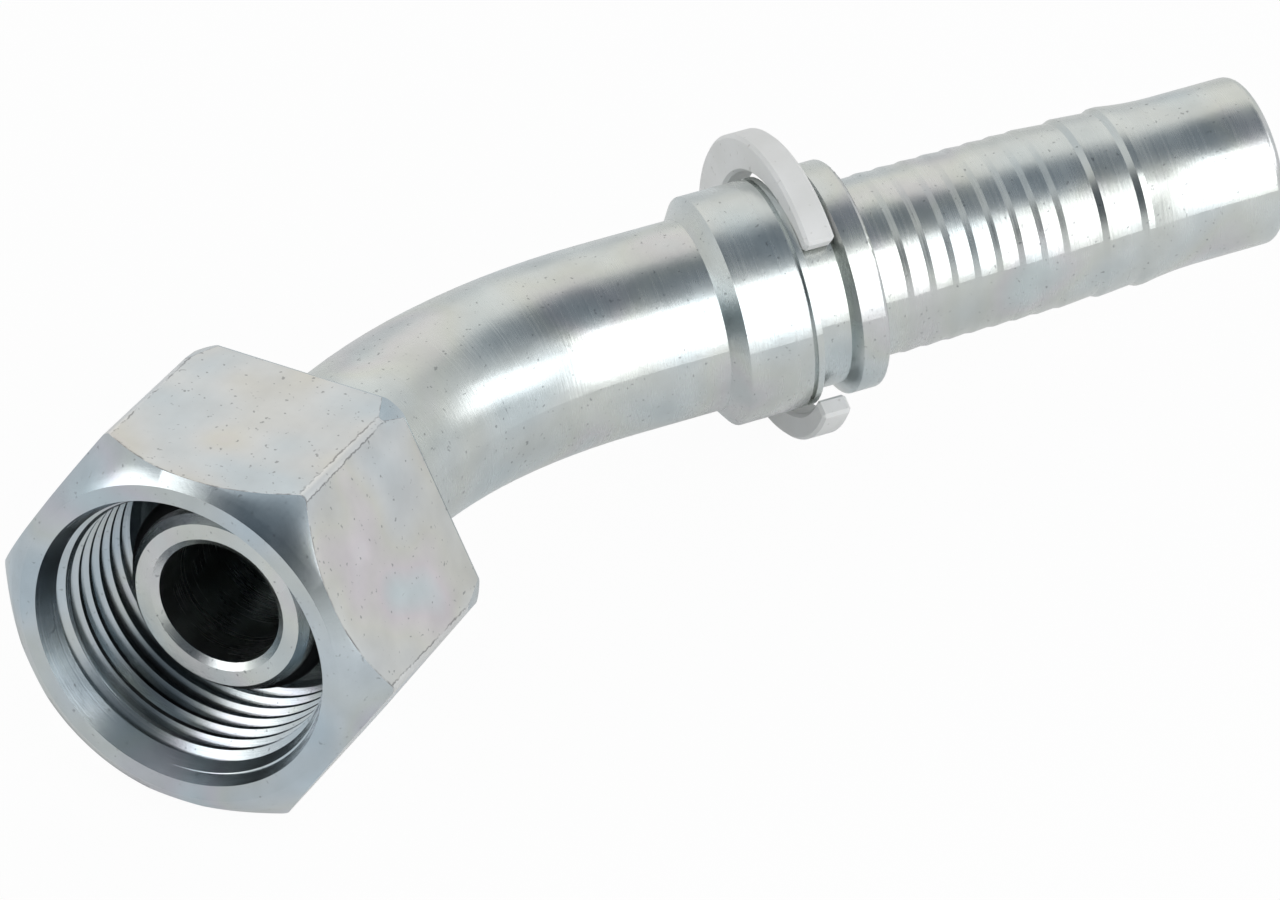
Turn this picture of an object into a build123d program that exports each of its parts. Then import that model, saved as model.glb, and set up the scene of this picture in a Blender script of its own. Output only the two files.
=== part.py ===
from build123d import *

import math
import os

# Forty-five degree hydraulic hose fitting: a bent, barbed stem with a 24 degree cone
# that seals with a ring, a swivel nut caught on the stem and a split clip near the hose tail.
# All sizes are millimetres and degrees.
# Each piece is made with the swivel axis on X, +X out of the nut's mouth and the bend in the
# XY plane. "Depth" is the distance from the mouth into the fitting, and "station" is the
# distance from the end of the bend along the hose tail.
# Then all is laid down with Z up: on the rear rim of one flat of the nut and on the clip.
# The origin is where the stem's bore begins, just behind the nose face.

# swivel nut
nut_across_flats = 27.0
nut_length = 17.5
nut_face_radius = 12.64
nut_front_chamfer_depth = 1.95
nut_rear_chamfer_depth = 2.0
nut_rear_chamfer_angle = 26.0
nut_corner_turn = 13.3

# thread in the nut: the bore is the thread's minor diameter
thread_size = 22.0
thread_pitch = 1.5
mouth_radius = 11.4
mouth_cone_angle = 23.2

# the tube that the stem is made from
tube_diameter = 15.0
bore_diameter = 9.6
bend_start_depth = 25.5
bend_radius = 34.2
bend_angle = 45.0

# sealing cone
nose_depth = 5.75
nose_face_radius = 6.52
nose_bevel = 0.52
nose_bevel_length = 0.35
nose_round_length = 0.6
cone_start_radius = 7.1
cone_half_angle = 12.0
cone_collar_radius = 8.7
cone_collar_length = 0.5
shoulder_angle = 45.0

# sealing ring and its groove
ring_section = 2.0
ring_groove_floor = 6.0
ring_groove_start = 1.35
ring_groove_width = 2.4
ring_seat_clearance = 0.02

# running clearances between the nut and the stem
nut_bore_clearance = 0.3
shoulder_clearance = 0.2

# collars on the tail, as stations from the end of the bend
collar_start = 7.2
collar_radius = 9.0
collar_cone_length = 1.1
collar_length = 6.15
parting_groove_width = 0.35
parting_groove_depth = 0.5
keeper_ring_width = 0.5
clip_groove_width = 2.6
clip_groove_floor = 8.0
flange_width = 2.8
flange_chamfer_length = 0.6
edge_round = 0.3

# barbed hose tail, after the flange
tail_valley_radius = 7.0
barb_peak_radius = 7.1
barb_rise_length = 0.5
first_barb_offset = 2.35
barb_pitch = 1.85
barb_count = 8
wide_valley_radius = 6.88
wide_barb_pitch = 3.3
wide_barb_count = 2
last_land_length = 0.5
spigot_radius = 6.7
spigot_blend_length = 4.5
spigot_length = 6.8
spigot_end_round = 0.8

# split clip, a snap ring that is thickest at its back and has sprung half out of its groove
clip_width = 2.4
clip_play = 1.58
clip_wall = 2.5
clip_eccentricity = 1.2
clip_end_angle = 40.0
clip_edge_chamfer = 0.25
clip_back_shift = 1.0
clip_side_shift = 0.45
clip_back_lean = 3.3
clip_side_lean = 2.0
clip_lean_offset = 0.65

# how the fitting lies: rolled until a flat of the nut faces down, then tipped back onto the clip
lie_tip = 6.67

# places that follow from the sizes above
thread_depth_per_pitch = 5 / 8 * math.cos(math.radians(30))
thread_minor_radius = thread_size / 2 - thread_depth_per_pitch * thread_pitch
nut_corner_radius = nut_across_flats / 2 / math.cos(math.radians(30))
tube_radius = tube_diameter / 2
bore_radius = bore_diameter / 2
nut_bore_radius = tube_radius + nut_bore_clearance
cone_start_depth = nose_depth + nose_round_length
cone_slope = math.tan(math.radians(cone_half_angle))
cone_end_depth = cone_start_depth + (cone_collar_radius - cone_start_radius) / cone_slope
shoulder_depth = cone_end_depth + cone_collar_length
shoulder_slope = math.tan(math.radians(shoulder_angle))
shoulder_end_depth = shoulder_depth + (cone_collar_radius - tube_radius) / shoulder_slope
collar_end = collar_start + collar_length
keeper_start = collar_end + parting_groove_width
clip_groove_start = keeper_start + keeper_ring_width
flange_start = clip_groove_start + clip_groove_width
flange_end = flange_start + flange_width
wide_barb_start = flange_end + first_barb_offset + (barb_count - 1) * barb_pitch + wide_barb_pitch
last_peak = wide_barb_start + (wide_barb_count - 1) * wide_barb_pitch + barb_rise_length
blend_start = last_peak + last_land_length
spigot_start = blend_start + spigot_blend_length
tail_end = spigot_start + spigot_length
clip_inner_radius = clip_groove_floor + clip_play
clip_outer_radius = clip_inner_radius + clip_wall


def point(distance, radius):
    """A point of a turned outline: distance runs along -X, radius along Y."""
    return (-distance, radius)


def turned(*curves):
    """Solid of revolution about X from the curves of a closed outline."""
    return revolve(make_face(Curve() + curves), axis=Axis.X)


def polyline(outline, close=False):
    """Straight runs through (distance, radius) pairs."""
    return Polyline(*[point(distance, radius) for distance, radius in outline], close=close)


def rounded(solid, distance, radius, size):
    """The turned solid with its circular edge at one distance and radius rounded."""
    edges = [
        edge for edge in solid.edges().filter_by(GeomType.CIRCLE)
        if abs(edge.arc_center.X + distance) < 0.01 and abs(edge.radius - radius) < 0.01
    ]
    return fillet(edges, size)


def swivel_nut():
    """Hexagon nut with both ends chamfered and a coned back that pulls on the stem."""
    hexagon = RegularPolygon(nut_corner_radius, 6, rotation=-nut_corner_turn)
    prism = extrude(Plane.YZ * hexagon, amount=-nut_length)
    rear_radius = (nut_corner_radius
                   - nut_rear_chamfer_depth * math.tan(math.radians(nut_rear_chamfer_angle)))
    envelope = turned(polyline([
        (0, 0),
        (0, nut_face_radius),
        (nut_front_chamfer_depth, nut_corner_radius),
        (nut_length - nut_rear_chamfer_depth, nut_corner_radius),
        (nut_length, rear_radius),
        (nut_length, 0),
    ], close=True))
    mouth_depth = ((mouth_radius - thread_minor_radius)
                   / math.tan(math.radians(mouth_cone_angle)))
    # the coned back stands one clearance behind the stem's shoulder
    gap_along_axis = shoulder_clearance / math.sin(math.radians(shoulder_angle))
    cone_reference = shoulder_depth + gap_along_axis
    back_cone_start = (cone_reference
                       - (thread_minor_radius - cone_collar_radius) / shoulder_slope)
    back_cone_end = cone_reference + (cone_collar_radius - nut_bore_radius) / shoulder_slope
    hollow = turned(polyline([
        (0, 0),
        (0, mouth_radius),
        (mouth_depth, thread_minor_radius),
        (back_cone_start, thread_minor_radius),
        (back_cone_end, nut_bore_radius),
        (nut_length, nut_bore_radius),
        (nut_length, 0),
    ], close=True))
    return (prism & envelope) - hollow


def stem_head():
    """Turned sealing end: nose, grooved 24 degree cone, collar and back shoulder."""
    groove_start = nose_depth + ring_groove_start
    groove_end = groove_start + ring_groove_width
    start_radius = cone_start_radius + (groove_start - cone_start_depth) * cone_slope
    end_radius = cone_start_radius + (groove_end - cone_start_depth) * cone_slope
    return turned(polyline([
        (nose_depth + nose_bevel_length, bore_radius),
        (nose_depth, bore_radius + nose_bevel),
        (nose_depth, nose_face_radius),
        (cone_start_depth, cone_start_radius),
        (groove_start, start_radius),
        (groove_start, ring_groove_floor),
        (groove_end, ring_groove_floor),
        (groove_end, end_radius),
        (cone_end_depth, cone_collar_radius),
        (shoulder_depth, cone_collar_radius),
        (shoulder_end_depth, tube_radius),
        (bend_start_depth, tube_radius),
        (bend_start_depth, bore_radius),
    ], close=True))


def barb_outline():
    """The saw teeth of the hose tail: each rises steeply and falls gently to the open end."""
    points = [(flange_end, tail_valley_radius)]
    for index in range(barb_count):
        station = flange_end + first_barb_offset + index * barb_pitch
        points.append((station, tail_valley_radius))
        points.append((station + barb_rise_length, barb_peak_radius))
    for index in range(wide_barb_count):
        station = wide_barb_start + index * wide_barb_pitch
        points.append((station, wide_valley_radius))
        points.append((station + barb_rise_length, barb_peak_radius))
    return points


def stem_tail():
    """Turned hose end: collar, parting groove, clip groove, flange, barbs and plain spigot."""
    groove_floor = collar_radius - parting_groove_depth
    collars = [
        (0, bore_radius),
        (0, tube_radius),
        (collar_start, tube_radius),
        (collar_start + collar_cone_length, collar_radius),
        (collar_end, collar_radius),
        (collar_end, groove_floor),
        (keeper_start, groove_floor),
        (keeper_start, collar_radius),
        (clip_groove_start, collar_radius),
        (clip_groove_start, clip_groove_floor),
        (flange_start, clip_groove_floor),
        (flange_start + flange_chamfer_length, collar_radius),
        (flange_end, collar_radius),
    ]
    barbs = barb_outline() + [(blend_start, barb_peak_radius)]
    blend = TangentArc(
        point(spigot_start, spigot_radius),
        point(blend_start, barb_peak_radius),
        tangent=(1, 0),
    )
    spigot = polyline([
        (spigot_start, spigot_radius),
        (tail_end, spigot_radius),
        (tail_end, bore_radius),
        (0, bore_radius),
    ])
    tail = turned(polyline(collars + barbs), blend, spigot)
    tail = rounded(tail, flange_end, collar_radius, edge_round)
    return rounded(tail, tail_end, spigot_radius, spigot_end_round)


def stem():
    """One-piece elbow: the turned head and tail joined by the bent tube."""
    ring = Circle(tube_radius) - Circle(bore_radius)
    section = Pos(-bend_start_depth, 0, 0) * (Plane.YZ * ring)
    centre_line = Axis((-bend_start_depth, bend_radius, 0), (0, 0, -1))
    bend = revolve(section, axis=centre_line, revolution_arc=bend_angle)
    return stem_head() + bend + tail_place() * stem_tail()


def tail_place():
    """Where the straight tail starts: at the end of the bend, turned with it."""
    angle = math.radians(bend_angle)
    end_x = -bend_start_depth - bend_radius * math.sin(angle)
    end_y = bend_radius * (1 - math.cos(angle))
    return Pos(end_x, end_y, 0) * Rot(0, 0, -bend_angle)


def cone_seal():
    """Round-section sealing ring in the groove of the cone."""
    section_radius = ring_section / 2
    centre_radius = ring_groove_floor + ring_seat_clearance + section_radius
    centre_depth = nose_depth + ring_groove_start + ring_groove_width / 2
    section = Pos(-centre_depth, centre_radius, 0) * Circle(section_radius)
    return revolve(section, axis=Axis.X)


def split_clip():
    """Open snap ring, thickest at its back, leaning out of the clip groove."""
    outer = Circle(clip_outer_radius)
    inner = Pos(clip_eccentricity, 0) * Circle(clip_inner_radius)
    reach = 2 * clip_outer_radius
    rise = reach * math.tan(math.radians(clip_end_angle))
    opening = make_face(Polyline(
        (clip_eccentricity, 0),
        (clip_eccentricity + reach, rise),
        (clip_eccentricity + reach, -rise),
        close=True,
    ))
    ring = outer - inner - opening
    body = extrude(Plane.YZ * ring, amount=-clip_width)
    body = chamfer(body.edges(), clip_edge_chamfer)
    station = clip_groove_start - clip_lean_offset
    place = (Pos(-station, -clip_back_shift - clip_eccentricity, -clip_side_shift)
             * Rot(0, -clip_side_lean, clip_back_lean))
    return tail_place() * place * body


def main():
    os.makedirs("parts", exist_ok=True)
    origin_depth = nose_depth + nose_bevel_length
    lie = Rot(0, -lie_tip, 0) * Rot(nut_corner_turn, 0, 0) * Pos(origin_depth, 0, 0)
    nodes = {
        "swivel_nut": lie * swivel_nut(),
        "elbow_stem": lie * stem(),
        "cone_seal_ring": lie * cone_seal(),
        "split_clip": lie * split_clip(),
    }
    for name, solid in nodes.items():
        export_step(solid, f"parts/{name}.step")


main()
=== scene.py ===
"""A forty-five degree hydraulic hose fitting, dressed round its fixed frame.

Lengths are metres. Pieces are made on the bench, with the swivel axis on X, +X out of the
nut's mouth and the bend in the XY plane. Then they are laid down as the fitting rests: on the
rear rim of a flat of the nut and on the clip. The origin is where the stem's bore begins.
"""

import logging
import math
from dataclasses import dataclass
from enum import Enum

import bpy
from mathutils import Matrix, Vector


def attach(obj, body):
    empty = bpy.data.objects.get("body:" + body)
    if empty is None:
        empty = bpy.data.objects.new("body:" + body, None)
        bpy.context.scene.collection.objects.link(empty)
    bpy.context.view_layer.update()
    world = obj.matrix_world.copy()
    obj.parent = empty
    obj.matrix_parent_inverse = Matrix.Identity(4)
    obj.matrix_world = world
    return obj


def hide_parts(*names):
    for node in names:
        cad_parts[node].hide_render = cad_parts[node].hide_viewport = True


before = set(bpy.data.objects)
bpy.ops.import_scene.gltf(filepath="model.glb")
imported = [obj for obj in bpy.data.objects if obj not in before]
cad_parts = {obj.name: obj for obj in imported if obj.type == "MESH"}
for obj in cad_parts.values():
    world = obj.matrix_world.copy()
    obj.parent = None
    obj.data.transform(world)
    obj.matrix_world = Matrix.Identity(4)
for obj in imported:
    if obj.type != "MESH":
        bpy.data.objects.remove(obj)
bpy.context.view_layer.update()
LOG = logging.getLogger("hose_fitting")
MM = 0.001
Triple = tuple[float, float, float]
Colour = Triple
Range = tuple[float, float]
Socket = bpy.types.NodeSocket

# how the fitting lies: rolled until a flat of the nut faces down, then tipped onto the clip
CORNER_TURN = math.radians(13.3)
TIP = math.radians(6.67)
LIE = Matrix.Rotation(-TIP, 4, "Y") @ Matrix.Rotation(CORNER_TURN, 4, "X")

# the nut's outer shape, which its finish follows too
MOUTH_X = 6.1 * MM
NUT_LENGTH = 17.5 * MM
ACROSS_FLATS = 27.0 * MM
CORNER_RADIUS = ACROSS_FLATS / 2 / math.cos(math.radians(30))
BEVEL_RADIUS = 13.65 * MM
BEVEL_DEPTH = 0.67 * MM
FRONT_CHAMFER = 3.0 * MM
FRONT_RISE = (CORNER_RADIUS - BEVEL_RADIUS) / (FRONT_CHAMFER - BEVEL_DEPTH)
REAR_CHAMFER = 3.5 * MM
REAR_FALL = math.tan(math.radians(10.5))

# the tube's centreline, which its turning lines follow
BEND_START_X = MOUTH_X - 25.5 * MM
BEND_RADIUS = 34.2 * MM
BEND_ANGLE = math.radians(45)

# how near two vertices are to be one
WELD = 0.0001 * MM

# the stretch in which most of a noise's values lie
NOISE_LOW = 0.3
NOISE_HIGH = 0.7

# sockets of a Mix node that mixes colours
MIX_FIRST = 6
MIX_SECOND = 7
MIX_RESULT = 2


class Pattern(Enum):
    """Which way the tool marks of a zinc surface run."""

    ALONG_AXIS = "along the swivel axis"
    ROUND_AXIS = "round the swivel axis"
    ROUND_CENTRELINE = "round the bent tube"


def deselect() -> None:
    """Leaves object mode with nothing selected."""
    if bpy.context.mode != "OBJECT":
        bpy.ops.object.mode_set(mode="OBJECT")
    bpy.ops.object.select_all(action="DESELECT")


def pick(piece: bpy.types.Object) -> None:
    """Makes one piece the only selected and the active one.

    Args:
        piece: the piece to select.
    """
    deselect()
    piece.select_set(True)
    bpy.context.view_layer.objects.active = piece


def settle(piece: bpy.types.Object) -> None:
    """Puts the piece's place, turn and size into its mesh."""
    pick(piece)
    bpy.ops.object.transform_apply(location=True, rotation=True, scale=True)


def lay_down(piece: bpy.types.Object) -> None:
    """Carries a piece from the bench to where the fitting lies."""
    piece.matrix_world = LIE
    settle(piece)


def tidy_mesh(piece: bpy.types.Object, weld: float = WELD) -> None:
    """Merges doubled vertices and points the faces outwards.

    Args:
        piece: the mesh to clean.
        weld: how near two vertices are to be one.
    """
    pick(piece)
    bpy.ops.object.mode_set(mode="EDIT")
    bpy.ops.mesh.select_all(action="SELECT")
    bpy.ops.mesh.remove_doubles(threshold=weld)
    bpy.ops.mesh.normals_make_consistent(inside=False)
    bpy.ops.object.mode_set(mode="OBJECT")


def cut(piece: bpy.types.Object, tool: bpy.types.Object, operation: str) -> None:
    """Applies a Boolean to the piece and removes the tool.

    Args:
        piece: the piece that is cut.
        tool: the closed solid that cuts it.
        operation: DIFFERENCE or INTERSECT.
    """
    pick(piece)
    boolean = piece.modifiers.new("cut", "BOOLEAN")
    boolean.operation = operation
    boolean.solver = "EXACT"
    boolean.object = tool
    bpy.ops.object.modifier_apply(modifier=boolean.name)
    mesh = tool.data
    bpy.data.objects.remove(tool)
    bpy.data.meshes.remove(mesh)


def turned_solid(name: str, outline: list[tuple[float, float]], sides: int) -> bpy.types.Object:
    """Turns a closed solid about X by extruding a disc from station to station.

    Args:
        name: the new object's name.
        outline: (x, radius) pairs in metres, from the first disc to the last.
        sides: how many sides the disc has.

    Returns:
        The solid, at the origin, with its faces pointing outwards.
    """
    deselect()
    x_now, radius_now = outline[0]
    bpy.ops.mesh.primitive_circle_add(
        vertices=sides, radius=radius_now, fill_type="NGON",
        location=(x_now, 0, 0), rotation=(0, math.pi / 2, 0))
    solid = bpy.context.object
    solid.name = name
    settle(solid)
    bpy.ops.object.mode_set(mode="EDIT")
    bpy.ops.mesh.select_all(action="SELECT")
    for x_next, radius_next in outline[1:]:
        bpy.ops.mesh.extrude_region_move(
            TRANSFORM_OT_translate={"value": (x_next - x_now, 0, 0)})
        grow = radius_next / radius_now
        bpy.ops.transform.resize(value=(1, grow, grow), center_override=(x_next, 0, 0))
        x_now, radius_now = x_next, radius_next
    bpy.ops.object.mode_set(mode="OBJECT")
    tidy_mesh(solid)
    return solid


@dataclass
class SwivelNut:
    """Hexagon nut with a real internal thread, made as one piece on the nut's body."""

    edge_softness: float = 0.42 * MM
    edge_segments: int = 6
    face_radius: float = 12.64 * MM
    mouth_radius: float = 11.4 * MM
    rear_bore_radius: float = 7.8 * MM
    minor_radius: float = 10.1881 * MM
    major_radius: float = 11.0 * MM
    pitch: float = 1.5 * MM
    flank_angle: float = math.radians(30)
    minor_bore_start: float = 2.828 * MM
    minor_bore_end: float = 13.172 * MM
    thread_lead_in: float = 1.7 * MM
    thread_runs_to: float = 12.3 * MM
    envelope_overrun: float = 0.8 * MM
    hollow_overrun: float = 1.0 * MM
    groove_overrun: float = 0.08 * MM
    sides: int = 192
    steps_per_turn: int = 96
    smooth_angle: float = math.radians(20)
    weld: float = 2 * WELD
    flat_margin: float = 0.6 * MM
    flat_normal: float = 0.999

    def blank(self) -> bpy.types.Object:
        """Hexagon bar with softened edges.

        Returns:
            The bar, with a ridge at the photographed turn.
        """
        deselect()
        bpy.ops.mesh.primitive_cylinder_add(
            vertices=6, radius=CORNER_RADIUS, depth=NUT_LENGTH,
            location=(MOUTH_X - NUT_LENGTH / 2, 0, 0), rotation=(0, math.pi / 2, 0))
        bar = bpy.context.object
        bar.name = "hexagon_nut"
        settle(bar)
        bar.rotation_euler = (-CORNER_TURN, 0, 0)
        settle(bar)
        bpy.ops.object.mode_set(mode="EDIT")
        bpy.ops.mesh.select_all(action="SELECT")
        bpy.ops.mesh.bevel(offset=self.edge_softness, segments=self.edge_segments,
                           profile=0.5, affect="EDGES")
        bpy.ops.object.mode_set(mode="OBJECT")
        return bar

    def envelope(self) -> bpy.types.Object:
        """Turned shape of both chamfered ends, which trims the hexagon.

        Returns:
            A closed solid that is wider than the hexagon between its chamfers.
        """
        over = self.envelope_overrun
        rear_x = MOUTH_X - NUT_LENGTH
        return turned_solid("nut_envelope", [
            (MOUTH_X, self.face_radius),
            (MOUTH_X - BEVEL_DEPTH, BEVEL_RADIUS),
            (MOUTH_X - FRONT_CHAMFER - over, CORNER_RADIUS + over * FRONT_RISE),
            (rear_x + REAR_CHAMFER + over, CORNER_RADIUS + over * REAR_FALL),
            (rear_x, CORNER_RADIUS - REAR_CHAMFER * REAR_FALL),
        ], self.sides)

    def hollow(self) -> bpy.types.Object:
        """The space inside the nut: countersink, minor bore, coned back and rear bore.

        Returns:
            A closed solid that passes both faces of the nut.
        """
        over = self.hollow_overrun
        flare = (self.mouth_radius - self.minor_radius) / self.minor_bore_start
        back_cone = self.minor_radius - self.rear_bore_radius
        return turned_solid("nut_hollow", [
            (MOUTH_X + over, self.mouth_radius + flare * over),
            (MOUTH_X - self.minor_bore_start, self.minor_radius),
            (MOUTH_X - self.minor_bore_end, self.minor_radius),
            (MOUTH_X - self.minor_bore_end - back_cone, self.rear_bore_radius),
            (MOUTH_X - NUT_LENGTH - over, self.rear_bore_radius),
        ], self.sides)

    def groove_section(self) -> bpy.types.Object:
        """Outline of the thread's groove, in the XY plane outside the mouth.

        Returns:
            A ring of four edges, narrow at the major radius.
        """
        inner = self.minor_radius - self.groove_overrun
        # a metric groove's root is an eighth of the pitch wide
        half_narrow = self.pitch / 16
        half_wide = half_narrow + (self.major_radius - inner) * math.tan(self.flank_angle)
        deselect()
        bpy.ops.mesh.primitive_plane_add(size=1, location=(0, 0, 0))
        section = bpy.context.object
        section.name = "thread_groove"
        for vertex in section.data.vertices:
            at_root = vertex.co.y > 0
            along = half_narrow if at_root else half_wide
            radius = self.major_radius if at_root else inner
            side = math.copysign(1, vertex.co.x)
            vertex.co = (MOUTH_X + self.thread_lead_in + side * along, radius, 0)
        bpy.ops.object.mode_set(mode="EDIT")
        bpy.ops.mesh.select_all(action="SELECT")
        bpy.ops.mesh.delete(type="ONLY_FACE")
        bpy.ops.object.mode_set(mode="OBJECT")
        return section

    def thread_groove(self) -> bpy.types.Object:
        """Right-handed helical cutter with the groove's true section.

        Returns:
            A closed solid that starts outside the mouth and ends short of the coned back.
        """
        turns = (self.thread_runs_to + self.thread_lead_in) / self.pitch
        cutter = self.groove_section()
        screw = cutter.modifiers.new("helix", "SCREW")
        screw.axis = "X"
        screw.angle = math.tau * turns
        screw.screw_offset = -self.pitch * turns
        screw.steps = int(self.steps_per_turn * turns)
        screw.render_steps = screw.steps
        screw.use_merge_vertices = True
        screw.merge_threshold = WELD
        bpy.ops.object.modifier_apply(modifier=screw.name)
        bpy.ops.object.mode_set(mode="EDIT")
        bpy.ops.mesh.select_all(action="SELECT")
        bpy.ops.mesh.fill_holes(sides=0)
        bpy.ops.object.mode_set(mode="OBJECT")
        tidy_mesh(cutter)
        return cutter

    def sort_faces(self, nut: bpy.types.Object) -> None:
        """Gives every turned or threaded face the second finish and leaves the flats the first.

        Args:
            nut: the finished nut, which has both finishes in its slots.
        """
        pick(nut)
        bpy.ops.object.mode_set(mode="EDIT")
        bpy.ops.mesh.select_mode(type="FACE")
        bpy.ops.mesh.select_all(action="DESELECT")
        bpy.ops.object.mode_set(mode="OBJECT")
        flat_radius = ACROSS_FLATS / 2 - self.flat_margin
        for face in nut.data.polygons:
            faces_sideways = math.hypot(face.normal.y, face.normal.z) > self.flat_normal
            outside = math.hypot(face.center.y, face.center.z) > flat_radius
            face.select = not (faces_sideways and outside)
        bpy.ops.object.mode_set(mode="EDIT")
        nut.active_material_index = 1
        bpy.ops.object.material_slot_assign()
        bpy.ops.object.mode_set(mode="OBJECT")

    def build(self, flats: bpy.types.Material, bores: bpy.types.Material) -> bpy.types.Object:
        """Cuts the nut out of its blank and dresses it.

        Args:
            flats: finish of the hexagon's flats and ridges.
            bores: finish of the turned ends, the bore and the thread.

        Returns:
            The finished nut.
        """
        nut = self.blank()
        cut(nut, self.envelope(), "INTERSECT")
        cut(nut, self.hollow(), "DIFFERENCE")
        cut(nut, self.thread_groove(), "DIFFERENCE")
        tidy_mesh(nut, self.weld)
        bpy.ops.object.shade_smooth_by_angle(angle=self.smooth_angle)
        nut.data.materials.clear()
        nut.data.materials.append(flats)
        nut.data.materials.append(bores)
        self.sort_faces(nut)
        lay_down(nut)
        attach(nut, "nut")
        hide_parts("swivel_nut")
        LOG.info("%s has %d faces", nut.name, len(nut.data.polygons))
        return nut


class Nodes:
    """A node tree, with short calls for the nodes that the finishes and the studio share."""

    def __init__(self, tree: bpy.types.NodeTree) -> None:
        """Empties the tree."""
        self.tree = tree
        self.tree.nodes.clear()

    def add(self, kind: str) -> bpy.types.Node:
        """A new node."""
        return self.tree.nodes.new(kind)

    def join(self, source: Socket, target: Socket) -> None:
        """Links one socket to another."""
        self.tree.links.new(source, target)

    def feed(self, socket: Socket, value: object) -> None:
        """Links a socket's value, or sets it where the value is plain.

        Args:
            socket: the input.
            value: a socket, or a plain value that the input takes.
        """
        if isinstance(value, Socket):
            self.join(value, socket)
        else:
            socket.default_value = value

    def math(self, operation: str, *values: object) -> Socket:
        """One Math node.

        Args:
            operation: the node's operation.
            values: up to three sockets or numbers.

        Returns:
            The node's result.
        """
        node = self.add("ShaderNodeMath")
        node.operation = operation
        for socket, value in zip(node.inputs, values):
            self.feed(socket, value)
        return node.outputs[0]

    def vector(self, operation: str, *values: object) -> bpy.types.Node:
        """One Vector Math node.

        Args:
            operation: the node's operation.
            values: one or two sockets or vectors.

        Returns:
            The node, whose results are named Vector and Value.
        """
        node = self.add("ShaderNodeVectorMath")
        node.operation = operation
        for socket, value in zip(node.inputs, values):
            self.feed(socket, value)
        return node

    def dot(self, first: object, second: object) -> Socket:
        """Dot product of two vectors."""
        return self.vector("DOT_PRODUCT", first, second).outputs["Value"]

    def offset(self, vector: Socket, shift: Vector) -> Socket:
        """The vector less a fixed point."""
        return self.vector("SUBTRACT", vector, tuple(shift)).outputs["Vector"]

    def from_axis(self, place: Socket) -> Socket:
        """Distance of a place from the swivel axis."""
        sideways = self.stretched(place, (0.0, 1.0, 1.0))
        return self.vector("LENGTH", sideways).outputs["Value"]

    def stretched(self, vector: Socket, scale: Triple,
                  turn: Triple = (0, 0, 0)) -> Socket:
        """The vector turned and scaled by a Mapping node.

        Args:
            vector: the vector.
            scale: scale along each axis.
            turn: Euler angles in radians.

        Returns:
            The new vector.
        """
        node = self.add("ShaderNodeMapping")
        self.feed(node.inputs["Vector"], vector)
        node.inputs["Rotation"].default_value = turn
        node.inputs["Scale"].default_value = scale
        return node.outputs["Vector"]

    def noise(self, vector: Socket, scale: float, detail: float = 2.0,
              roughness: float = 0.5) -> Socket:
        """Noise in three dimensions.

        Args:
            vector: the place.
            scale: waves to a metre.
            detail: how many finer layers are added.
            roughness: how strong each finer layer is.

        Returns:
            A value between 0 and 1.
        """
        node = self.add("ShaderNodeTexNoise")
        self.feed(node.inputs["Vector"], vector)
        node.inputs["Scale"].default_value = scale
        node.inputs["Detail"].default_value = detail
        node.inputs["Roughness"].default_value = roughness
        return node.outputs["Fac"]

    def line_noise(self, distance: Socket, scale: float, detail: float) -> Socket:
        """Noise along one distance only, so that it makes lines.

        Args:
            distance: the distance in metres.
            scale: waves to a metre.
            detail: how many finer layers are added.

        Returns:
            A value between 0 and 1.
        """
        node = self.add("ShaderNodeTexNoise")
        node.noise_dimensions = "1D"
        self.feed(node.inputs["W"], distance)
        node.inputs["Scale"].default_value = scale
        node.inputs["Detail"].default_value = detail
        return node.outputs["Fac"]

    def ranged(self, value: Socket, low: float, high: float, to_low: float = 0.0,
               to_high: float = 1.0, smooth: bool = False) -> Socket:
        """The value's stretch from low to high, carried to a new range and clamped.

        Args:
            value: the value.
            low: where the stretch begins.
            high: where it ends.
            to_low: the result at low.
            to_high: the result at high.
            smooth: ease in and out.

        Returns:
            The new value.
        """
        node = self.add("ShaderNodeMapRange")
        if smooth:
            node.interpolation_type = "SMOOTHSTEP"
        self.feed(node.inputs["Value"], value)
        node.inputs["From Min"].default_value = low
        node.inputs["From Max"].default_value = high
        node.inputs["To Min"].default_value = to_low
        node.inputs["To Max"].default_value = to_high
        return node.outputs["Result"]

    def ramp(self, value: Socket, stops: tuple[tuple[float, Colour], ...]) -> Socket:
        """Colours along a value.

        Args:
            value: a socket between 0 and 1.
            stops: (place, colour) pairs in rising order.

        Returns:
            The colour.
        """
        node = self.add("ShaderNodeValToRGB")
        self.feed(node.inputs["Fac"], value)
        elements = node.color_ramp.elements
        while len(elements) < len(stops):
            elements.new(0.5)
        for element, (place, colour) in zip(elements, stops):
            element.position = place
            element.color = (*colour, 1.0)
        return node.outputs["Color"]

    def mixed(self, share: object, first: object, second: object, blend: str = "MIX") -> Socket:
        """Two colours blended by a share.

        Args:
            share: a socket or a number, from 0 to 1.
            first: a socket or a colour.
            second: a socket or a colour.
            blend: the Mix node's blend type.

        Returns:
            The colour.
        """
        node = self.add("ShaderNodeMix")
        node.data_type = "RGBA"
        node.blend_type = blend
        self.feed(node.inputs["Factor"], share)
        for index, value in ((MIX_FIRST, first), (MIX_SECOND, second)):
            self.feed(node.inputs[index], value if isinstance(value, Socket) else (*value, 1.0))
        return node.outputs[MIX_RESULT]

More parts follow.
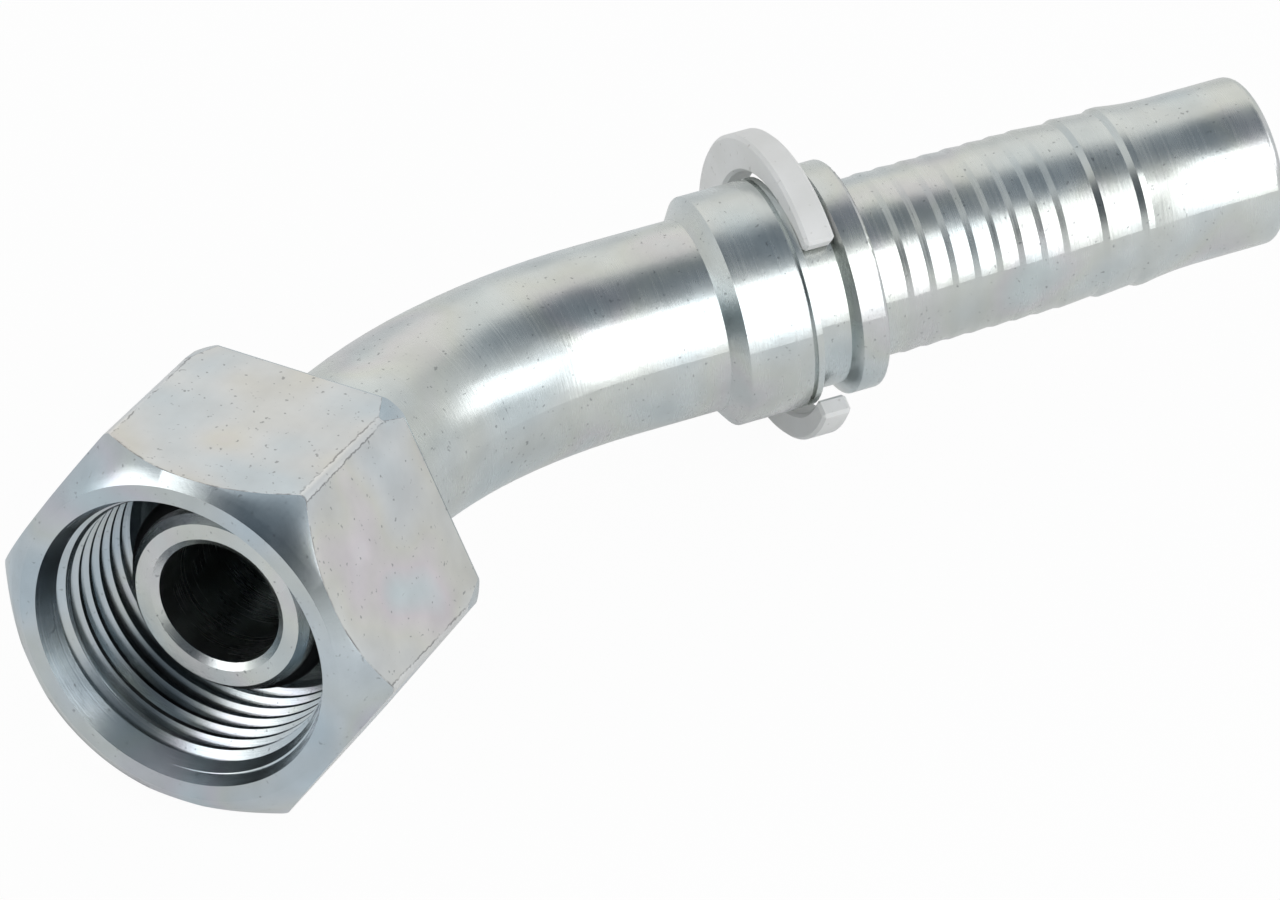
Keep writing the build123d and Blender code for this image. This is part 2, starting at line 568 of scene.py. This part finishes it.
    def bump(self, height: Socket, distance: float, under: Socket | None = None,
             strength: float = 1.0) -> Socket:
        """Surface relief from a height between 0 and 1.

        Args:
            height: the height socket.
            distance: metres that a height of 1 stands for.
            under: an earlier bump's result to lay this one over.
            strength: share of the relief.

        Returns:
            The bumped normal.
        """
        node = self.add("ShaderNodeBump")
        self.feed(node.inputs["Height"], height)
        node.inputs["Distance"].default_value = distance
        node.inputs["Strength"].default_value = strength
        if under is not None:
            self.join(under, node.inputs["Normal"])
        return node.outputs["Normal"]


class Surface(Nodes):
    """A material's nodes: one shader, and the place of each point on the bench."""

    def __init__(self, name: str) -> None:
        """Starts the material.

        Args:
            name: the material's name.
        """
        self.material = bpy.data.materials.new(name)
        self.material.use_nodes = True
        super().__init__(self.material.node_tree)
        self.shader = self.add("ShaderNodeBsdfPrincipled")
        output = self.add("ShaderNodeOutputMaterial")
        self.join(self.shader.outputs["BSDF"], output.inputs["Surface"])
        laid = self.add("ShaderNodeTexCoord").outputs["Object"]
        back_to_bench = LIE.to_3x3().inverted().to_euler("XYZ")
        self.place = self.stretched(laid, (1, 1, 1), tuple(back_to_bench))

    def along(self) -> Socket:
        """Distance along the swivel axis, from the origin towards the mouth."""
        return self.dot(self.place, (1, 0, 0))

    def down_the_tube(self) -> Socket:
        """Distance along the bent tube's centreline.

        Returns:
            Metres that grow from the nose to the end of the hose tail.
        """
        sideways = Vector((0, 1, 0))
        backwards = Vector((-1, 0, 0))
        centre = Vector((BEND_START_X, 0, 0)) + sideways * BEND_RADIUS
        outward = backwards * math.sin(BEND_ANGLE) - sideways * math.cos(BEND_ANGLE)
        tail = backwards * math.sin(BEND_ANGLE) + sideways * math.cos(BEND_ANGLE)
        straight = self.math("MAXIMUM", self.along(), BEND_START_X)
        from_centre = self.offset(self.place, centre)
        angle = self.math("ARCTAN2", self.dot(from_centre, tuple(backwards)),
                          self.dot(from_centre, tuple(-sideways)))
        angle = self.math("MINIMUM", self.math("MAXIMUM", angle, 0.0), BEND_ANGLE)
        from_bend = self.offset(self.place, centre + outward * BEND_RADIUS)
        beyond = self.math("MAXIMUM", self.dot(from_bend, tuple(tail)), 0.0)
        run = self.math("MULTIPLY_ADD", angle, BEND_RADIUS, beyond)
        return self.math("SUBTRACT", run, straight)


@dataclass(frozen=True)
class EdgeWearAndPaintedLight:
    """Dark nicks with painted edge shade, and worn bright metal with a painted highlight, along
    the hexagon's edges.
    """

    wobble_scale: float = 2400.0
    wobble_in: float = -0.06 * MM
    wobble_out: float = 0.08 * MM
    front_wobble: float = 0.5
    rear_wobble: float = 0.15
    # width of the bright band along each ridge: worn metal and a painted highlight of the rounded
    # ridge
    wear_and_highlight_half_rear: float = 0.24 * MM
    wear_and_highlight_half_front: float = 0.46 * MM
    wear_and_highlight_fade: float = 0.08 * MM
    # reach of the dark lines beside the ridges and at the chamfer edges: nicks and painted edge
    # shade
    ridge_nick_and_shade: float = 0.09 * MM
    front_nick_and_shade: Range = (0.04 * MM, 0.16 * MM)
    rear_nick_and_shade: Range = (0.01 * MM, 0.04 * MM)
    break_scale: float = 700.0
    break_range: Range = (0.42, 0.56)
    # share and colour of the bright ridge band: worn metal and a painted highlight
    wear_and_highlight_share: float = 0.5
    wear_and_highlight_colour: Colour = (0.88, 0.89, 0.90)
    # share and colour of the dark lines: nicks and painted edge shade
    nick_and_shade_share: float = 0.75
    nick_and_shade_colour: Colour = (0.13, 0.13, 0.14)

    def from_ridge(self, surface: Surface) -> Socket:
        """Distance from the nearest ridge of the hexagon, round the axis."""
        y = surface.dot(surface.place, (0, 1, 0))
        z = surface.dot(surface.place, (0, 0, 1))
        turn = surface.math("ADD", surface.math("ARCTAN2", z, y), CORNER_TURN + math.tau)
        turn = surface.math("PINGPONG", turn, math.radians(30))
        return surface.math("MULTIPLY", turn, CORNER_RADIUS)

    def marks(self, surface: Surface) -> tuple[Socket, Socket]:
        """Where the marks are: nicks with painted edge shade, and worn metal with a painted ridge
        highlight.

        Args:
            surface: the material in work.

        Returns:
            The share of nicks and painted edge shade, and the share of worn metal and painted
            highlight, both from 0 to 1.
        """
        wobble = surface.ranged(surface.noise(surface.place, self.wobble_scale, detail=3.0),
                                NOISE_LOW, NOISE_HIGH, self.wobble_in, self.wobble_out)
        along = surface.along()
        depth = surface.math("SUBTRACT", MOUTH_X, along)
        radius = surface.from_axis(surface.place)
        ridge = surface.math("ADD", self.from_ridge(surface), wobble)
        half = surface.ranged(along, MOUTH_X - NUT_LENGTH, MOUTH_X,
                              self.wear_and_highlight_half_rear, self.wear_and_highlight_half_front)
        # bright band along each ridge: worn metal and a painted highlight
        wear_and_highlight = surface.ranged(surface.math("SUBTRACT", half, ridge), 0.0, self.wear_and_highlight_fade)
        beside = surface.math("ABSOLUTE", surface.math("SUBTRACT", ridge, half))
        front = surface.math("MULTIPLY_ADD", surface.math("SUBTRACT", depth, BEVEL_DEPTH),
                             FRONT_RISE, BEVEL_RADIUS)
        rear = surface.math("SUBTRACT", NUT_LENGTH - REAR_CHAMFER, depth)
        rear = surface.math("MULTIPLY_ADD", rear, REAR_FALL, CORNER_RADIUS)
        # dark lines beside the ridge band and along both chamfer edges: nicks and painted edge
        # shade
        nicks_and_shade = surface.ranged(beside, 0.0, self.ridge_nick_and_shade, 1.0, 0.0)
        for chamfer, share, reach in ((front, self.front_wobble, self.front_nick_and_shade),
                                      (rear, self.rear_wobble, self.rear_nick_and_shade)):
            gap = surface.math("SUBTRACT", chamfer, radius)
            gap = surface.math("MULTIPLY_ADD", wobble, share, gap)
            nicks_and_shade = surface.math("MAXIMUM", nicks_and_shade, surface.ranged(gap, *reach, 1.0, 0.0))
        breaks = surface.noise(surface.place, self.break_scale, detail=4.0, roughness=0.6)
        breaks = surface.ranged(breaks, *self.break_range)
        return surface.math("MULTIPLY", nicks_and_shade, breaks), wear_and_highlight

    def over(self, surface: Surface, base: Socket) -> Socket:
        """A colour with the marks laid over it: dark lines for nicks and painted edge shade, a
        light ridge band for wear and a painted highlight.

        Args:
            surface: the material in work.
            base: the colour below.

        Returns:
            The colour.
        """
        nicks_and_shade, wear_and_highlight = self.marks(surface)
        wear_and_highlight = surface.math("MULTIPLY", wear_and_highlight, self.wear_and_highlight_share)
        nicks_and_shade = surface.math("MULTIPLY", nicks_and_shade, self.nick_and_shade_share)
        # painted highlight: the ridge band is lightened, both as worn metal and as the ridge's
        # highlight
        base = surface.mixed(wear_and_highlight, base, self.wear_and_highlight_colour)
        # painted shade: dark lines for the nicks and for the shade at the edges
        return surface.mixed(nicks_and_shade, base, self.nick_and_shade_colour)


@dataclass(frozen=True)
class BrightZinc:
    """Bright zinc plate over turned or drawn steel."""

    name: str
    pattern: Pattern
    colour: Colour
    roughness: float
    line_depth: float
    line_scale: float
    tint: float
    speck: float
    ripple: float
    # edge wear, with a painted ridge highlight and painted edge shade
    wear_and_painted_light: EdgeWearAndPaintedLight | None = None
    cloud_scale: float = 260.0
    cloud_range: Range = (0.25, 0.75)
    brightest: float = 1.05
    dullest: float = 0.90
    drift_scale: float = 120.0
    drift_turn: Triple = (0.4, 0.7, 0.2)
    film: tuple[tuple[float, Colour], ...] = (
        (0.30, (0.86, 0.94, 1.0)),
        (0.45, (1.0, 1.0, 1.0)),
        (0.56, (1.0, 0.96, 0.88)),
        (0.66, (1.0, 0.90, 0.93)),
        (0.78, (0.88, 0.97, 1.0)),
    )
    speck_scale: float = 2600.0
    speck_range: Range = (0.69, 0.76)
    speck_colour: Colour = (0.16, 0.17, 0.18)
    smoothest: float = 0.85
    roughest: float = 1.2
    line_roughness: float = 0.12
    along_stretch: float = 0.02
    cone_share: float = 0.9
    fade_scale: float = 180.0
    fade_range: Range = (0.3, 0.65)
    faintest_line: float = 0.35
    grain_scale: float = 3800.0
    grain_depth: float = 0.0015 * MM
    ripple_scale: float = 620.0

    def lines(self, surface: Surface) -> Socket:
        """Height of the tool marks.

        Args:
            surface: the material in work.

        Returns:
            A value between 0 and 1.
        """
        if self.pattern is Pattern.ALONG_AXIS:
            along = surface.stretched(surface.place, (self.along_stretch, 1.0, 1.0))
            return surface.noise(along, self.line_scale, detail=3.0, roughness=0.6)
        if self.pattern is Pattern.ROUND_AXIS:
            distance = surface.math("ADD", surface.from_axis(surface.place),
                                    surface.dot(surface.place, (self.cone_share, 0, 0)))
        else:
            distance = surface.down_the_tube()
        return surface.line_noise(distance, self.line_scale, detail=3.0)

    def base_colour(self, surface: Surface, cloud: Socket) -> Socket:
        """Clouded zinc with a thin coloured film, dark specks and any edge wear, which carries a
        painted ridge highlight and painted edge shade.

        Args:
            surface: the material in work.
            cloud: the slow noise that roughness follows too.

        Returns:
            The colour.
        """
        bright = tuple(min(1.0, value * self.brightest) for value in self.colour)
        dull = tuple(value * self.dullest for value in self.colour)
        base = surface.mixed(surface.ranged(cloud, NOISE_LOW, NOISE_HIGH), dull, bright)
        turned = surface.stretched(surface.place, (1, 1, 1), self.drift_turn)
        film = surface.ramp(surface.noise(turned, self.drift_scale, detail=1.0), self.film)
        base = surface.mixed(self.tint, base, film, "MULTIPLY")
        specks = surface.noise(surface.place, self.speck_scale, detail=1.0)
        specks = surface.ranged(specks, *self.speck_range)
        specks = surface.math("MULTIPLY", specks, self.speck)
        base = surface.mixed(specks, base, self.speck_colour)
        return self.wear_and_painted_light.over(surface, base) if self.wear_and_painted_light else base

    def relief(self, surface: Surface, lines: Socket) -> Socket:
        """Tool marks that fade in and out, then fine grain, then a slow ripple.

        Args:
            surface: the material in work.
            lines: height of the tool marks.

        Returns:
            The bumped normal.
        """
        fade = surface.noise(surface.place, self.fade_scale)
        fade = surface.ranged(fade, *self.fade_range, self.faintest_line, 1.0)
        normal = surface.bump(surface.math("MULTIPLY", lines, fade), self.line_depth)
        grain = surface.noise(surface.place, self.grain_scale)
        normal = surface.bump(grain, self.grain_depth, normal)
        ripple = surface.noise(surface.place, self.ripple_scale, detail=3.0)
        return surface.bump(ripple, self.ripple, normal)

    def make(self) -> bpy.types.Material:
        """Builds the finish.

        Returns:
            The material.
        """
        surface = Surface(self.name)
        inputs = surface.shader.inputs
        inputs["Metallic"].default_value = 1.0
        lines = self.lines(surface)
        cloud = surface.noise(surface.place, self.cloud_scale, detail=3.0, roughness=0.55)
        surface.join(self.base_colour(surface, cloud), inputs["Base Color"])
        rough = surface.ranged(cloud, *self.cloud_range, self.roughness * self.smoothest,
                               self.roughness * self.roughest)
        centred = surface.math("SUBTRACT", lines, 0.5)
        rough = surface.math("MULTIPLY_ADD", centred, self.line_roughness, rough)
        surface.join(rough, inputs["Roughness"])
        surface.join(self.relief(surface, lines), inputs["Normal"])
        return surface.material


@dataclass(frozen=True)
class SealRubber:
    """Smooth matt black rubber of the sealing ring."""

    name: str = "seal_rubber"
    darkest: Colour = (0.004, 0.004, 0.005)
    palest: Colour = (0.010, 0.010, 0.011)
    bloom_scale: float = 900.0
    roughness: Range = (0.50, 0.65)
    specular: float = 0.15
    grain_scale: float = 5200.0
    grain_depth: float = 0.004 * MM

    def make(self) -> bpy.types.Material:
        """Builds the finish.

        Returns:
            The material.
        """
        surface = Surface(self.name)
        inputs = surface.shader.inputs
        bloom = surface.noise(surface.place, self.bloom_scale, detail=3.0)
        base = surface.ramp(bloom, ((NOISE_LOW, self.darkest), (NOISE_HIGH, self.palest)))
        surface.join(base, inputs["Base Color"])
        rough = surface.ranged(bloom, NOISE_LOW, NOISE_HIGH, *self.roughness)
        surface.join(rough, inputs["Roughness"])
        inputs["Specular IOR Level"].default_value = self.specular
        grain = surface.noise(surface.place, self.grain_scale)
        surface.join(surface.bump(grain, self.grain_depth), inputs["Normal"])
        return surface.material


@dataclass(frozen=True)
class ClipNylon:
    """Soft white moulded nylon of the split clip."""

    name: str = "clip_nylon"
    darkest: Colour = (0.78, 0.78, 0.77)
    palest: Colour = (0.86, 0.86, 0.86)
    cloud_scale: float = 240.0
    speck_scale: float = 1900.0
    speck_range: Range = (0.70, 0.78)
    speck_share: float = 0.35
    speck_colour: Colour = (0.38, 0.36, 0.33)
    roughness: Range = (0.42, 0.55)
    grain_scale: float = 2400.0
    grain_depth: float = 0.010 * MM
    grain_strength: float = 0.6

    def make(self) -> bpy.types.Material:
        """Builds the finish.

        Returns:
            The material.
        """
        surface = Surface(self.name)
        inputs = surface.shader.inputs
        cloud = surface.noise(surface.place, self.cloud_scale, detail=3.0)
        base = surface.ramp(cloud, ((NOISE_LOW, self.darkest), (NOISE_HIGH, self.palest)))
        specks = surface.noise(surface.place, self.speck_scale, detail=1.0)
        specks = surface.ranged(specks, *self.speck_range)
        specks = surface.math("MULTIPLY", specks, self.speck_share)
        surface.join(surface.mixed(specks, base, self.speck_colour), inputs["Base Color"])
        rough = surface.ranged(cloud, NOISE_LOW, NOISE_HIGH, *self.roughness)
        surface.join(rough, inputs["Roughness"])
        grain = surface.noise(surface.place, self.grain_scale, detail=3.0)
        normal = surface.bump(grain, self.grain_depth, strength=self.grain_strength)
        surface.join(normal, inputs["Normal"])
        return surface.material


def dress(node: str, material: bpy.types.Material) -> None:
    """Gives a carried-over node its finish.

    Args:
        node: the node's name.
        material: its new material.
    """
    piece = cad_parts[node]
    for slot in piece.material_slots:
        slot.link = "OBJECT"
        slot.material = material
    LOG.info("%s is dressed in %s", node, material.name)


def direction(azimuth: float, elevation: float) -> Vector:
    """Unit vector towards an azimuth and an elevation.

    Args:
        azimuth: degrees from +X to +Y.
        elevation: degrees above the table.

    Returns:
        The vector.
    """
    turn, rise = math.radians(azimuth), math.radians(elevation)
    level = math.cos(rise)
    return Vector((math.cos(turn) * level, math.sin(turn) * level, math.sin(rise)))


@dataclass(frozen=True)
class Patch:
    """A soft round patch of the surroundings that the metal reflects in another colour."""

    azimuth: float
    elevation: float
    fades_in: float
    full_within: float
    colour: Colour
    around: Colour = (1.0, 1.0, 1.0)

    def make(self, nodes: Nodes, way: Socket) -> Socket:
        """Builds the patch.

        Args:
            nodes: the world's nodes.
            way: the direction that is looked in.

        Returns:
            The colour by which the surroundings are multiplied.
        """
        nearness = nodes.dot(way, tuple(direction(self.azimuth, self.elevation)))
        share = nodes.ranged(nearness, math.cos(math.radians(self.fades_in)),
                             math.cos(math.radians(self.full_within)), smooth=True)
        return nodes.mixed(share, self.around, self.colour)


@dataclass(frozen=True)
class SoftBox:
    """One rectangular lamp that faces the fitting."""

    name: str
    azimuth: float
    elevation: float
    distance: float
    width: float
    height: float
    radiance: float
    aim: Triple = (-0.035, 0.012, 0.0)

    def build(self) -> None:
        """Adds the lamp, at a brightness where a radiance of 1 is white."""
        data = bpy.data.lights.new(self.name, "AREA")
        data.shape = "RECTANGLE"
        data.size = self.width
        data.size_y = self.height
        data.energy = self.radiance * self.width * self.height * math.pi
        lamp = bpy.data.objects.new(self.name, data)
        bpy.context.scene.collection.objects.link(lamp)
        way = direction(self.azimuth, self.elevation)
        lamp.location = Vector(self.aim) + way * self.distance
        lamp.rotation_euler = way.to_track_quat("Z", "Y").to_euler()


@dataclass(frozen=True)
class Studio:
    """White table, soft lamps, pale surroundings and the camera."""

    camera_place: Triple = (285.373 * MM, 158.757 * MM, 272.621 * MM)
    camera_turn: Triple = (51.612, -1.5043, 115.1145)
    lens: float = 168.75
    sensor: float = 36.0
    clip_range: Range = (0.01, 20.0)
    table_height: float = -14.74 * MM
    table_size: float = 6.0
    table_grid: int = 4
    table_grey: float = 0.86
    white_to_camera: float = 0.96
    white_to_metal: float = 0.25
    tent_strength: float = 0.72
    patches: tuple[Patch, ...] = (
        Patch(130, 74, 33, 8, (0.25, 0.29, 0.33), around=(0.98, 1.0, 1.0)),
        Patch(14, 33, 36, 12, (0.12, 0.14, 0.16)),
        Patch(-157, 38, 34, 12, (1.32, 1.27, 1.22)),
    )
    soft_boxes: tuple[SoftBox, ...] = (
        SoftBox("tall_soft_box", 69, 27, 0.55, 0.21, 0.56, 2.2),
        SoftBox("bend_soft_box", 106, 26, 0.60, 0.34, 0.24, 1.5),
        SoftBox("left_soft_box", -40, 24, 0.7, 0.45, 0.25, 1.6),
    )

    def camera(self) -> None:
        """Adds the photograph's viewpoint."""
        data = bpy.data.cameras.new("viewpoint")
        data.sensor_width = self.sensor
        data.sensor_fit = "HORIZONTAL"
        data.lens = self.lens
        data.clip_start, data.clip_end = self.clip_range
        viewpoint = bpy.data.objects.new("viewpoint", data)
        bpy.context.scene.collection.objects.link(viewpoint)
        viewpoint.location = self.camera_place
        viewpoint.rotation_euler = tuple(math.radians(angle) for angle in self.camera_turn)
        bpy.context.scene.camera = viewpoint

    def table_white(self) -> bpy.types.Material:
        """Matt white that the camera sees nearly pure and the metal sees a little brighter.

        Returns:
            The table's material.
        """
        material = bpy.data.materials.new("table_white")
        material.use_nodes = True
        nodes = Nodes(material.node_tree)
        output = nodes.add("ShaderNodeOutputMaterial")
        matt = nodes.add("ShaderNodeBsdfDiffuse")
        matt.inputs["Color"].default_value = (self.table_grey, self.table_grey, self.table_grey, 1)
        white = nodes.add("ShaderNodeEmission")
        white.inputs["Color"].default_value = (1, 1, 1, 1)
        rays = nodes.add("ShaderNodeLightPath").outputs
        to_camera = nodes.math("MULTIPLY", rays["Is Camera Ray"], self.white_to_camera)
        share = nodes.math("MULTIPLY_ADD", rays["Is Glossy Ray"], self.white_to_metal, to_camera)
        self.blend(nodes, share, matt.outputs[0], white.outputs[0], output)
        return material

    def table(self) -> None:
        """Adds the plain white table."""
        deselect()
        bpy.ops.mesh.primitive_grid_add(
            x_subdivisions=self.table_grid, y_subdivisions=self.table_grid,
            size=self.table_size, location=(0, 0, self.table_height))
        table = bpy.context.object
        table.name = "white_table"
        settle(table)
        table.data.materials.append(self.table_white())

    def surroundings(self) -> None:
        """Sets the world: white to the camera, and to metal a pale tent with its patches."""
        world = bpy.data.worlds.new("pale_tent")
        bpy.context.scene.world = world
        world.use_nodes = True
        nodes = Nodes(world.node_tree)
        output = nodes.add("ShaderNodeOutputWorld")
        backdrop = nodes.add("ShaderNodeBackground")
        backdrop.inputs["Color"].default_value = (1, 1, 1, 1)
        tent = nodes.add("ShaderNodeBackground")
        tent.inputs["Strength"].default_value = self.tent_strength
        way = nodes.add("ShaderNodeTexCoord").outputs["Generated"]
        colours = [patch.make(nodes, way) for patch in self.patches]
        colour = colours[0]
        for other in colours[1:]:
            colour = nodes.vector("MULTIPLY", colour, other).outputs["Vector"]
        nodes.join(colour, tent.inputs["Color"])
        to_camera = nodes.add("ShaderNodeLightPath").outputs["Is Camera Ray"]
        self.blend(nodes, to_camera, tent.outputs[0], backdrop.outputs[0], output)

    def blend(self, nodes: Nodes, share: Socket, first: Socket, second: Socket,
              output: bpy.types.Node) -> None:
        """Sends two shaders to the output, blended by a share.

        Args:
            nodes: the node tree.
            share: 0 for the first shader, 1 for the second.
            first: the first shader's result.
            second: the second shader's result.
            output: the output node.
        """
        mix = nodes.add("ShaderNodeMixShader")
        for socket, value in zip(mix.inputs, (share, first, second)):
            nodes.join(value, socket)
        nodes.join(mix.outputs[0], output.inputs["Surface"])

    def build(self) -> None:
        """Sets up the whole studio."""
        self.camera()
        self.table()
        self.surroundings()
        for soft_box in self.soft_boxes:
            soft_box.build()
        bpy.context.scene.view_settings.view_transform = "Standard"
        LOG.info("studio is set")


def main() -> None:
    """Builds the studio and dresses the fitting."""
    logging.basicConfig(level=logging.INFO)
    Studio().build()
    stem_zinc = BrightZinc(
        "turned_bright_zinc", Pattern.ROUND_CENTRELINE, colour=(0.66, 0.70, 0.70),
        roughness=0.25, line_depth=0.007 * MM, line_scale=4200.0,
        tint=0.5, speck=0.5, ripple=0.016 * MM)
    # the hexagon's edges get wear with a painted ridge highlight and painted edge shade
    flat_zinc = BrightZinc(
        "hexagon_satin_zinc", Pattern.ALONG_AXIS, colour=(0.70, 0.72, 0.73),
        roughness=0.34, line_depth=0.003 * MM, line_scale=2500.0,
        tint=0.8, speck=0.55, ripple=0.010 * MM, wear_and_painted_light=EdgeWearAndPaintedLight())
    bore_zinc = BrightZinc(
        "turned_nut_zinc", Pattern.ROUND_AXIS, colour=(0.57, 0.63, 0.67),
        roughness=0.22, line_depth=0.003 * MM, line_scale=6000.0,
        tint=0.7, speck=0.4, ripple=0.008 * MM)
    SwivelNut().build(flat_zinc.make(), bore_zinc.make())
    dress("elbow_stem", stem_zinc.make())
    dress("cone_seal_ring", SealRubber().make())
    dress("split_clip", ClipNylon().make())


if __name__ == "__main__":
    main()
